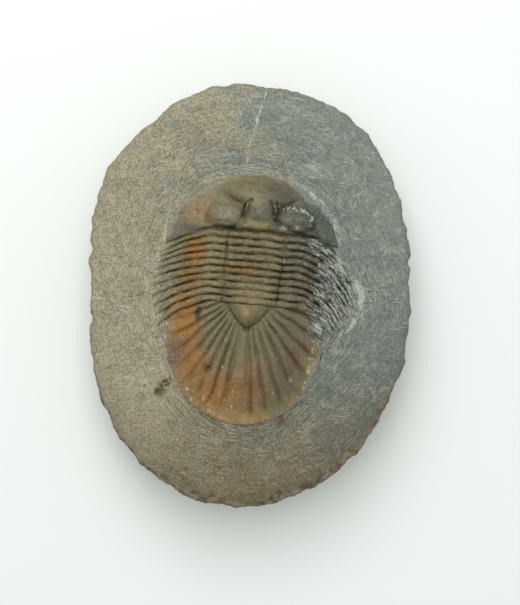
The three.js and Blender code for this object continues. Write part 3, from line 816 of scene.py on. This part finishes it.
def make_plate(name, plan, height, values):
    """A closed plate over the patch plan; height is its top over the bed, its foot is in the rock.

    The plan is warped a little, the same way for every plate, as no real shell is ruled straight.
    """
    u, v = plan[..., 0], plan[..., 1]
    u, v = u + 0.22 * roughness(u, v, 0, 5.0, 2), v + 0.24 * roughness(u, v, 20, 4.0, 2)
    x, y = from_shell(u, v)
    low = bedrock(u, v)
    clear = clear_of_shell(u, v)
    outside = smooth(-0.5, 0.5, clear)
    height = height * (1 - outside) + (low + 0.25 - BED) * outside
    cover = 0.5
    for middle, size, depth in ROCK_DUST:
        cover = cover + depth * spot(u, v, middle, size)
    top = together(x, y, BED + np.maximum(height, low + 0.12 - BED))
    foot = together(x, y, np.minimum(low - SUNK, BED + height - 0.4))
    columns, rows = u.shape
    upper = np.arange(columns * rows).reshape(columns, rows)
    lower = upper + columns * rows
    upward = together(upper[:-1, :-1], upper[1:, :-1], upper[1:, 1:], upper[:-1, 1:])
    downward = together(lower[:-1, 1:], lower[1:, 1:], lower[1:, :-1], lower[:-1, :-1])
    edge = np.concatenate([upper[:-1, 0], upper[-1, :-1], upper[:0:-1, -1], upper[0, :0:-1]])
    after = np.roll(edge, -1)
    wall = together(edge + columns * rows, after + columns * rows, after, edge)
    faces = [quad for part in (upward, downward, wall) for quad in part.reshape(-1, 4).tolist()]
    dust = smooth(-cover, 0.3, clear + 0.7 * roughness(u, v, 60, 1.6))
    values = {"upper": np.ones_like(u), "run": np.gradient(top, axis=0), "dust": dust, **values}
    doubled = {}
    for key, numbers in values.items():
        flat = numbers.reshape(-1, *numbers.shape[2:])
        doubled[key] = np.concatenate([flat, 0 * flat if key in ("upper", "run", "chips") else flat])
    points = np.vstack([top.reshape(-1, 3), foot.reshape(-1, 3)])
    return make_solid(name, points, faces, doubled, flat_faces=len(wall))


def dressed_head(name, plan):
    u, v = plan[..., 0], plan[..., 1]
    height, groove_shade, crust = head_relief(u, v)
    flow = together(u / 1.6, v / 1.1, 0)
    return make_plate(name, plan, height, {"groove_shade": groove_shade, "crust": crust, "flow": flow})


def make_cranidium():
    def across(t):
        return lambda s: on_head((2 * s - 1) * (suture(t) - SEAM / 2), t)

    def along(side):
        return lambda t: on_head(side * (suture(t) - SEAM / 2), t)

    plan = patch(across(0.0), across(1.0), along(-1), along(1), columns=200, rows=110)
    return dressed_head("cranidium_shell", plan)


def make_cheek(name, side):
    genal = GENAL_LEFT if side < 0 else GENAL_RIGHT

    def near(t):
        return on_head(side * (suture(t) + SEAM / 2), t)

    def margin(t):
        return on_head(side * (genal + (suture(1.0) + SEAM / 2 + CHEEK_TIP - genal) * t ** 1.4), 1)

    def back(s):
        inner = suture(0.0) + SEAM / 2
        return on_head(side * (inner + (genal - inner) * s), 0)

    front = straight(near(ENDS)[1], margin(ENDS)[1])
    plan = patch(back, front, near, margin, columns=60, rows=100)
    return dressed_head(name, plan[::-1] if side < 0 else plan)


def shell_colours(name, ground, patches, dull, shiny, groove_shade_tint=(0.4, 0.33, 0.23, 1)):
    """A shell finish: a ground of two colours, ragged patches as stained takes them, and painted shade in
    its grooves.
    """
    material, tree, shader = new_material(name)
    place = use(tree, PLACE)["Shell"]
    east, north, _ = new_node(tree, "ShaderNodeSeparateXYZ", {0: place}).outputs
    streak = cloud(tree, field(tree, "flow", "Vector"), 1.0, 4.0, 0.65)
    broad, fine, speck = (speckle(tree, place, size) for size in (4.0, 0.4, 0.34))
    wave = plus(tree, times(tree, streak, 0.5), times(tree, broad, 0.5))
    colour = blend(tree, ramp(tree, wave, 0.4, 0.6), *ground)
    colour = stained(tree, colour, place, wave, 2.0, patches)
    colour = mottle(tree, colour,
                    (streak, 0.48, 0.3, 0.6, (0.42, 0.36, 0.26)),
                    (streak, 0.52, 0.68, 0.8, (1.35, 1.32, 1.25)),
                    (fine, 0.48, 0.32, 0.4, (0.42, 0.36, 0.28)),
                    (fine, 0.54, 0.68, 0.8, (1.4, 1.38, 1.35)))
    # Painted shade: the grooves, furrows, pits and creases are darkened in colour by their mask.
    sunk = ramp(tree, plus(tree, field(tree, "groove_shade"), times(tree, wave, 0.5)), 0.56, 1.2)
    colour = blend(tree, times(tree, sunk, 0.9), colour, groove_shade_tint, "MULTIPLY")
    dusty = ramp(tree, plus(tree, field(tree, "dust"), fine), 0.75, 1.3, 0.0, 0.8)
    rocky = blend(tree, ramp(tree, east, 2.0, 12.0), tint(130, 126, 103), tint(114, 121, 111))
    white = ramp(tree, plus(tree, field(tree, "crust"), times(tree, speck, 3.8)), 2.2, 2.85)
    calcite = blend(tree, ramp(tree, north, -5.0, -11.0), tint(170, 179, 168), tint(186, 170, 134))
    colour = lay(tree, colour, (dusty, rocky), (times(tree, white, 0.85), calcite))
    surface(tree, shader, colour, fine, dull, shiny)
    fine_relief(tree, shader, plus(tree, fine, times(tree, streak, 0.7)), 0.5, 0.2 * MM)
    return material


OLIVE_SHELL = shell_colours(
    "olive_head_shell", (tint(106, 98, 72), tint(92, 88, 68)),
    (
        ((118, 108, 76), (-6.0, 26.0), (8.0, 5.0), 0.8),
        ((130, 109, 66), (-15.6, 20.0), (4.4, 5.5), 0.85),
        ((120, 115, 92), (-8.6, 20.2), (4.2, 2.4), 0.8),
        ((96, 86, 69), (5.5, 26.6), (4.5, 3.2), 0.8),
        ((84, 84, 68), (5.5, 24.0), (5.0, 3.0), 0.8),
        ((86, 84, 68), (1.0, 20.5), (3.0, 2.5), 0.6),
        ((84, 84, 68), (9.0, 20.2), (4.8, 3.2), 0.85),
        ((66, 72, 60), (14.2, 20.5), (4.0, 7.0), 0.97),
        ((66, 64, 54), (11.6, 16.6), (5.0, 1.5), 0.9),
        ((150, 122, 52), (0.4, 17.5), (1.8, 0.7), 0.7),
        ((116, 104, 64), (-1.6, 18.0), (4.0, 1.0), 0.7),
        ((78, 69, 58), (-17.0, 16.0), (3.2, 1.2), 0.95),
    ),
    0.55, 0.4)
DARK_SHELL = shell_colours("dark_cheek_shell", (tint(62, 70, 59), tint(71, 78, 66)), (), 0.55, 0.42)

for piece, node, slot, finish in (
    (make_cranidium(), "cranidium", "olive_shell", OLIVE_SHELL),
    (make_cheek("left_cheek_shell", -1), "left_free_cheek", "olive_shell", OLIVE_SHELL),
    (make_cheek("right_cheek_shell", 1), "right_free_cheek", "dark_shell", DARK_SHELL),
):
    piece.data.materials.append(finish)
    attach(piece, "root")
    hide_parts(node)


# ---------------------------------------------------------------- shell: thorax
# Ten hoops of shell, each a ring over the axis and a pleura to each side that ends in a spine.
# Each one rises from its front edge to a crest and drops steeply behind it, like a roof tile.
SEGMENTS = 10
AXIS_FRONT, AXIS_BACK, AXIS_RISE = 7.0, 5.9, 1.5  # half width on the right, and rise
AXIS_LEFT = 7.25  # half width on the left
CREST = 0.95
SPINE_START, SPINE_WIDTH = 0.8, 0.12  # share of the way out where a pleura narrows, width of its end
HOOP_COLUMNS = 301
HOOP_ROWS = np.array(  # from the front of a hoop to its back
    [0, 0.03, 0.07, 0.12, 0.18, 0.26, 0.35, 0.45, 0.56, 0.67, 0.77, 0.86, 0.93, 0.97, 1])
ROOF_TILE_PROFILE = (
    (0, 0), (0.08, 0.3), (0.18, 0.66), (0.3, 0.93), (0.44, 1), (0.62, 0.92), (0.78, 0.66), (0.91, 0.3),
    (1, 0.06),
)


def left_reach(n):
    """Half width of the thorax on the left, n segments behind its front."""
    return 24.2 - 0.075 * (n - 5) ** 2


def right_reach(n):
    return np.minimum(20.8 + 4.5 * n, 25.9 - 0.1 * n - 0.045 * n ** 2)


def axial_lobe(u, v, half_width):
    """Rise of the axis over the flanks, and the broken furrow beside it."""
    half_width = np.where(u < 0, AXIS_LEFT, half_width)
    broken = np.clip(0.65 + 0.8 * roughness(u, v, 2, 1.6), 0.15, 1)
    notch = bell(np.abs(u) - half_width, 0.3) * broken
    return AXIS_RISE * dome(u / half_width, 0.5) - 0.45 * notch, notch


def make_hoop(number):
    """The bare hoop between its edges, with where each point is along and across it."""
    s = np.linspace(-1, 1, HOOP_COLUMNS)[:, None]
    seam = SEAM / 2 / PITCH
    t = seam + (1 - 2 * seam) * HOOP_ROWS
    taper = (1 - SPINE_WIDTH) * smooth(SPINE_START, 1, np.abs(s)) ** 2
    n = number - t * (1 - taper) - seam * taper
    u = s * np.where(s < 0, left_reach(n), right_reach(n))
    v = segment_edge(n, u)
    lobe, notch = axial_lobe(u, v, AXIS_FRONT + (AXIS_BACK - AXIS_FRONT) * n / SEGMENTS)
    sides = np.abs(s) + 0 * t
    height = flank(sides) + lobe - 0.35 + 0.1 * roughness(u, v, 0, 2.4)
    worn = 1 - 0.85 * spot(u, v, (-0.6, 1.6), (3.6, 2.4))
    uneven = np.clip(0.95 + 0.65 * roughness(u, v, 12, 2.2), 0.3, 1.4)
    split = smooth(-15, -18, u) * bell(t - 0.5, 0.1) * np.clip(2.2 * roughness(u, v, 30, 2.5), 0, 1)
    inward = 1.6 * roughness(u, v, 40, 2.0) - 0.15 * (v - 5) + 3.5 * smooth(11.5, 15, v)
    right_side = smooth(12.5, 17.0, u + inward)
    crust = right_side * (0.4 + 1.5 * roughness(u / 2.4, n * 3, 50, 1.0) + 0.25 * smooth(0.72, 1, sides))
    in_furrow = np.clip(0.3 + 1.5 * roughness(u, v, 70, 0.8), 0, 1)
    crust += 1.1 * notch * (u > 0) * smooth(3, 8, v) * in_furrow
    values = {
        "along": t + 0 * u,
        "relief": (1 - taper) * worn * uneven,
        # The broken axial furrow and the split on the left flank, sunk in the roof tile and darkened as
        # painted shade.
        "furrow": np.maximum(0.85 * notch, 0.8 * split),
        "crust": np.clip(crust, 0, 1),
        "chips": right_side * np.clip(0.25 + 1.4 * crust, 0, 1),
        "flow": together(u / 2.6, n * PITCH / 0.55, 0),
    }
    return make_plate(f"segment_shell_{number:02d}", together(u, v), height, values)


def shaped(tree, value, points):
    """A value run through a smooth curve of (in, out) points."""
    made = new_node(tree, "ShaderNodeFloatCurve", {"Value": value})
    curve = made.mapping.curves[0]
    curve.points[0].location, curve.points[1].location = points[0], points[-1]
    for point in points[1:-1]:
        curve.points.new(*point)
    made.mapping.update()
    return made.outputs[0]


def relief_tree(name):
    """An empty tree for a ribbed plate, with the inputs that raise_and_mark needs."""
    return new_tree(name, {"Crest": "Float", "Wear": "Float", "Seed": "Float"})


def raise_and_mark(tree, given, lift, low, finish):
    """Lifts the upper face by lift, roughened by wear, and stores the low places as its mask of painted
    shade.
    """
    at = add(tree, "GeometryNodeInputPosition")
    rub = add(tree, "ShaderNodeTexNoise",
              {"Vector": at, "Scale": 900.0, "Detail": 3.0, "W": given["Seed"]}, noise_dimensions="4D")
    wear = times(tree, minus(tree, rub, 0.5), given["Wear"])
    rise = times(tree, plus(tree, lift, wear), stored(tree, "upper"))
    offset = add(tree, "ShaderNodeCombineXYZ", {2: rise})
    moved = add(tree, "GeometryNodeSetPosition", {"Geometry": given["Geometry"], "Offset": offset})
    # Painted shade: the low places and the furrows, kept as the mask that darkens them.
    groove_shade = math_node(tree, "MAXIMUM", low, stored(tree, "furrow"))
    marked = add(tree, "GeometryNodeStoreNamedAttribute",
                 {"Geometry": moved, "Name": "groove_shade", "Value": groove_shade}, data_type="FLOAT", domain="POINT")
    finish_tree(tree, marked, finish)
    return tree


def roof_tile_tree(finish):
    tree, given = relief_tree("roof_tile_ridge")
    profile = shaped(tree, stored(tree, "along"), ROOF_TILE_PROFILE)
    relief = stored(tree, "relief")
    notched = minus(tree, profile, times(tree, stored(tree, "furrow"), 0.45))
    lift = times(tree, notched, relief, given["Crest"])
    # The ground between the crests goes on as the mask of painted shade.
    return raise_and_mark(tree, given, lift, times(tree, minus(tree, 1.0, profile), relief), finish)


BROWN_SHELL = shell_colours(
    "brown_body_shell", (tint(120, 108, 76), tint(102, 94, 66)),
    (
        ((130, 124, 104), (-21.5, 4.0), (3.6, 12.0), 0.85),
        ((126, 98, 50), (-14.2, 13.0), (3.4, 1.8), 0.75),
        ((138, 95, 30), (-14.2, 9.8), (3.4, 2.8), 0.95),
        ((126, 91, 42), (-15.6, 4.2), (3.6, 2.6), 0.85),
        ((130, 106, 64), (-15.4, -0.4), (4.0, 2.6), 0.8),
        ((128, 116, 84), (-10.2, 4.0), (2.8, 10.0), 0.8),
        ((116, 84, 36), (-2.6, 6.6), (4.6, 1.7), 0.75),
        ((118, 98, 60), (-1.0, 1.6), (3.6, 2.4), 0.7),
        ((136, 116, 76), (-1.3, -4.0), (3.0, 2.8), 0.9),
        ((88, 84, 70), (10.4, 8.5), (4.0, 10.5), 0.85),
        ((64, 66, 62), (16.8, 6.0), (4.2, 11.5), 0.92),
        ((70, 75, 70), (20.8, 6.5), (5.2, 13.0), 0.94),
        ((74, 74, 66), (16.5, 14.0), (7.0, 3.0), 0.85),
        ((84, 90, 82), (18.5, -6.0), (4.0, 4.5), 0.9),
        ((86, 60, 46), (13.0, 3.0), (0.9, 4.0), 0.6),
        ((152, 105, 42), (-15.6, -7.2), (4.4, 5.4), 0.92),
        ((104, 80, 64), (-16.6, -13.0), (2.6, 2.4), 0.9),
        ((74, 70, 62), (-17.1, -16.2), (1.9, 1.7), 0.92),
        ((86, 80, 62), (8.0, -8.5), (6.5, 7.0), 0.6),
        ((150, 104, 48), (-13.0, -17.0), (4.4, 4.6), 0.9),
        ((98, 96, 66), (-4.0, -8.0), (7.0, 6.0), 0.75),
        ((144, 104, 54), (-6.5, -23.5), (10.0, 6.0), 0.95),
        ((146, 118, 70), (-1.0, -28.5), (7.0, 2.0), 0.8),
        ((112, 70, 40), (1.5, -19.0), (4.0, 5.0), 0.5),
        ((96, 84, 68), (9.5, -17.0), (4.5, 6.5), 0.8),
        ((112, 74, 62), (14.4, -9.6), (2.0, 1.4), 0.7),
        ((108, 74, 62), (11.4, -13.4), (1.4, 3.0), 0.6),
        ((48, 45, 44), (-12.6, -4.2), (0.8, 1.9), 0.95),
        ((56, 44, 40), (-9.2, -17.0), (1.4, 1.2), 0.7),
    ),
    0.55, 0.38, groove_shade_tint=(0.44, 0.34, 0.2, 1))

ROOF_TILE = roof_tile_tree(BROWN_SHELL)
CHIPS = grit_tree("calcite_chips", "chips", CALCITE)
for number in range(1, SEGMENTS + 1):
    hoop = make_hoop(number)
    apply_tree(hoop, ROOF_TILE, {"Crest": CREST * MM, "Wear": 0.35 * MM, "Seed": float(number)})
    apply_tree(hoop, CHIPS, {"Per square mm": 2.6, "Length": 1.2 * MM, "Width": 0.22 * MM, "Seed": number})
    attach(hoop, "root")
    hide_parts(f"thoracic_segment_{number:02d}")


# ---------------------------------------------------------------- shell: tail shield
# One broad plate with a stub of the axis at its front. A middle rib and nine to each side fan
# out from the stub and die away before the smooth margin.
TAIL = {"u": -0.9, "v": -10.5, "half_width": 18.7, "half_length": 19.7}
MARGIN_START, MARGIN_END = math.radians(171), math.radians(369)
HUB = (-1.4, 1.8)  # where the ribs would meet, in front of the tail
STUB = {"u": -0.6, "half_width": 5.0, "length": 5.6, "rise": 1.5}
RIBS = np.arange(10)
TAIL_SPECKS = (  # u, v and size of white specks in the lower part
    (-9.9, -13.2, 0.3), (-5.4, -10.0, 0.25), (-5.6, -16.5, 0.3), (-2.6, -22.4, 0.35), (-2.4, -26.0, 0.4),
    (7.0, -21.8, 0.35), (11.0, -18.2, 0.3), (-13.5, -23.0, 0.4), (-12.6, -25.2, 0.4), (-7.6, -27.6, 0.5),
    (-6.4, -28.2, 0.4), (-4.4, -24.6, 0.3), (-9.4, -24.6, 0.4), (-8.0, -26.2, 0.3), (15.2, -16.0, 0.7),
    (14.6, -18.6, 0.35), (14.4, -20.0, 0.3),
)
RIB_PROFILE = (
    (0, 0), (0.06, 0.2), (0.15, 0.56), (0.29, 0.86), (0.5, 1), (0.71, 0.86), (0.85, 0.56), (0.94, 0.2),
    (1, 0),
)


def tail_margin(s):
    """The tail's margin from its left corner round the back to its right corner."""
    angle = MARGIN_START + (MARGIN_END - MARGIN_START) * s
    return together(TAIL["u"] + TAIL["half_width"] * np.cos(angle),
                    TAIL["v"] + TAIL["half_length"] * np.sin(angle))


def rib_number(angle):
    """Which rib lies at an angle from straight back: whole in its middle, halves in its grooves."""
    left, right = 7 + 6.6 * RIBS + 0.2 * RIBS ** 2, 7.4 + 6.6 * RIBS + 0.42 * RIBS ** 2
    return np.interp(angle, np.concatenate([-left[::-1], right]),
                     np.concatenate([-RIBS[::-1] - 0.5, RIBS + 0.5]))


def tail_crust(u, v):
    """White specks in the lower part, then the crust on the right edge and corner."""
    specks, grain = np.zeros_like(u), 0.3 * roughness(u, v, 14, 0.5, 2)
    for speck_u, speck_v, size in TAIL_SPECKS:
        shape = spot(u + grain, v - grain, (speck_u, speck_v), (0.8 * size, 1.2 * size))
        specks = np.maximum(specks, 1.1 * shape)
    edge = spot(u, v, (15.8, -12.5), (1.5, 5.0)) * (0.2 + 1.2 * roughness(u, v, 8, 0.9))
    corner = spot(u, v, (17.5, -5.0), (3.2, 4.2)) * (0.6 + 1.3 * roughness(u / 2.5, v * 1.6 + u, 50, 1.0))
    return specks, np.maximum(edge, corner)


def make_tail():
    left, right = tail_margin(ENDS)

    def front(s):
        u = left[0] + (right[0] - left[0]) * s
        return together(u, segment_edge(SEGMENTS + SEAM / 2 / PITCH, u))

    sides = [straight(first, last) for first, last in zip(tail_margin(ENDS), front(ENDS))]
    plan = patch(tail_margin, front, *sides, columns=260, rows=140)
    u, v = plan[..., 0], plan[..., 1]
    across, backward = (u - TAIL["u"]) / TAIL["half_width"], (v - TAIL["v"]) / TAIL["half_length"]
    angle = np.arctan2(u - HUB[0], HUB[1] - v)
    reach = np.hypot(u - HUB[0], v - HUB[1])
    back = np.clip((front(np.array([0.5]))[0, 1] - v) / STUB["length"], 0, None)
    from_stub = (np.abs(u - STUB["u"]) / STUB["half_width"]) ** 1.3 + back ** 1.35 - 1
    stub = STUB["rise"] * smooth(0.06, -0.75, from_stub) ** 0.6
    knob = 1.3 * dome(np.hypot(u + 1.1, v + 3.9) / 2.9, 1.0)
    moat = bell(from_stub - 0.02, 0.11) * smooth(0.02, 0.25, back)
    tip = bell(np.hypot((u + 0.8) / 1.3, (v + 7.2) / 0.7), 1)
    share = np.hypot(across, np.where(v < TAIL["v"], backward, 0))
    height = (flank(np.clip(share, 0, 1)) + stub + knob - 0.35 * moat - 0.3 * tip
              + 0.12 * roughness(u, v, 0, 2.4) + 0.05 * roughness(u, v, 4, 0.9, 2))
    to_margin = 1 - np.hypot(across, backward)
    fading = smooth(0.0, 0.26, to_margin + 0.1 * smooth(-13, -8, v) + 0.07 * smooth(-2, 4, u))
    uneven = np.clip(0.9 + 0.45 * roughness(reach / 12, angle * 14, 9, 1.0), 0.4, 1.3)
    broken = np.clip(1 + roughness(reach / 9, angle * 20, 19, 1.0), 0, 1.3)
    ribbed = smooth(0.02, 1.1, from_stub) * 0.6 + smooth(0.02, 0.15, from_stub) * 0.4
    specks, crust = tail_crust(u, v)
    values = {
        "rib": rib_number(np.degrees(angle)),
        "relief": ribbed * fading * uneven,
        # The moat round the stub and its sunk tip, darkened as painted shade.
        "furrow": np.clip(0.9 * moat + tip, 0, 1),
        "crust": np.maximum(specks, crust),
        "between": 0.5 * ribbed * smooth(15, 8, reach) * broken,
        "flow": together(reach / 3, angle * 22, 0),
    }
    return make_plate("tail_shell", plan, height + 0.1 * specks, values)


def fan_tree(finish):
    tree, given = relief_tree("fan_of_ribs")
    phase = math_node(tree, "FRACT", plus(tree, stored(tree, "rib"), 20.5))
    profile = shaped(tree, phase, RIB_PROFILE)
    main = times(tree, minus(tree, 1.0, profile), stored(tree, "relief"))
    off_crest = math_node(tree, "ABSOLUTE", minus(tree, phase, 0.5))
    fine = times(tree, ramp(tree, off_crest, 0.13, 0.0), stored(tree, "between"))
    lift = times(tree, plus(tree, main, times(tree, fine, 0.5)), given["Crest"], -1.0)
    # The grooves between the ribs and the fine lines, as the mask of painted shade.
    low = math_node(tree, "MAXIMUM", times(tree, main, 0.8), fine)
    return raise_and_mark(tree, given, lift, low, finish)


tail = make_tail()
apply_tree(tail, fan_tree(BROWN_SHELL), {"Crest": 0.95 * MM, "Wear": 0.3 * MM, "Seed": 21.0})
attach(tail, "root")
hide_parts("tail_shield")


# ---------------------------------------------------------------- table, light and camera
# A plain pale table top, soft daylight from beyond the head, and a camera straight above.
TABLE_CORNERS = ((-2, -2, 0), (2, -2, 0), (2, 2, 0), (-2, 2, 0))
CAMERA_HEIGHT = 0.42
WIDEST_LEVEL = 0.016  # height of the block's widest part
VIEW_WIDTH = 0.1272  # across the picture at that level
VIEW_MIDDLE = (0.0023, -0.0016)

table_mesh = bpy.data.meshes.new("table_top")
table_mesh.from_pydata(TABLE_CORNERS, [], [(0, 1, 2, 3)])
table = bpy.data.objects.new("table_top", table_mesh)
bpy.context.scene.collection.objects.link(table)
PALE_TABLE = new_material("pale_table", Base_Color=(0.845, 0.873, 0.847, 1), Roughness=0.6)[0]
table.data.materials.append(PALE_TABLE)


def area_light(name, place, size, power):
    light = bpy.data.lights.new(name, "AREA")
    light.size, light.energy = size, power
    lamp = bpy.data.objects.new(name, light)
    lamp.location = place
    lamp.rotation_euler = (-Vector(place)).to_track_quat("-Z", "Y").to_euler()
    bpy.context.scene.collection.objects.link(lamp)


area_light("window", (-0.06, 0.36, 0.42), 0.3, 1.2)
area_light("ceiling", (-0.02, 0.16, 0.95), 0.6, 3.1)
world = bpy.data.worlds.new("soft_daylight")
world.use_nodes = True
world.node_tree.nodes["Background"].inputs["Color"].default_value = (0.95, 0.99, 0.97, 1)
world.node_tree.nodes["Background"].inputs["Strength"].default_value = 0.55
bpy.context.scene.world = world
bpy.context.scene.view_settings.view_transform = "Standard"

camera_data = bpy.data.cameras.new("camera")
camera_data.sensor_fit = "HORIZONTAL"
camera_data.lens = camera_data.sensor_width * (CAMERA_HEIGHT - WIDEST_LEVEL) / VIEW_WIDTH
camera = bpy.data.objects.new("camera", camera_data)
camera.location = (*VIEW_MIDDLE, CAMERA_HEIGHT)
bpy.context.scene.collection.objects.link(camera)
bpy.context.scene.camera = camera
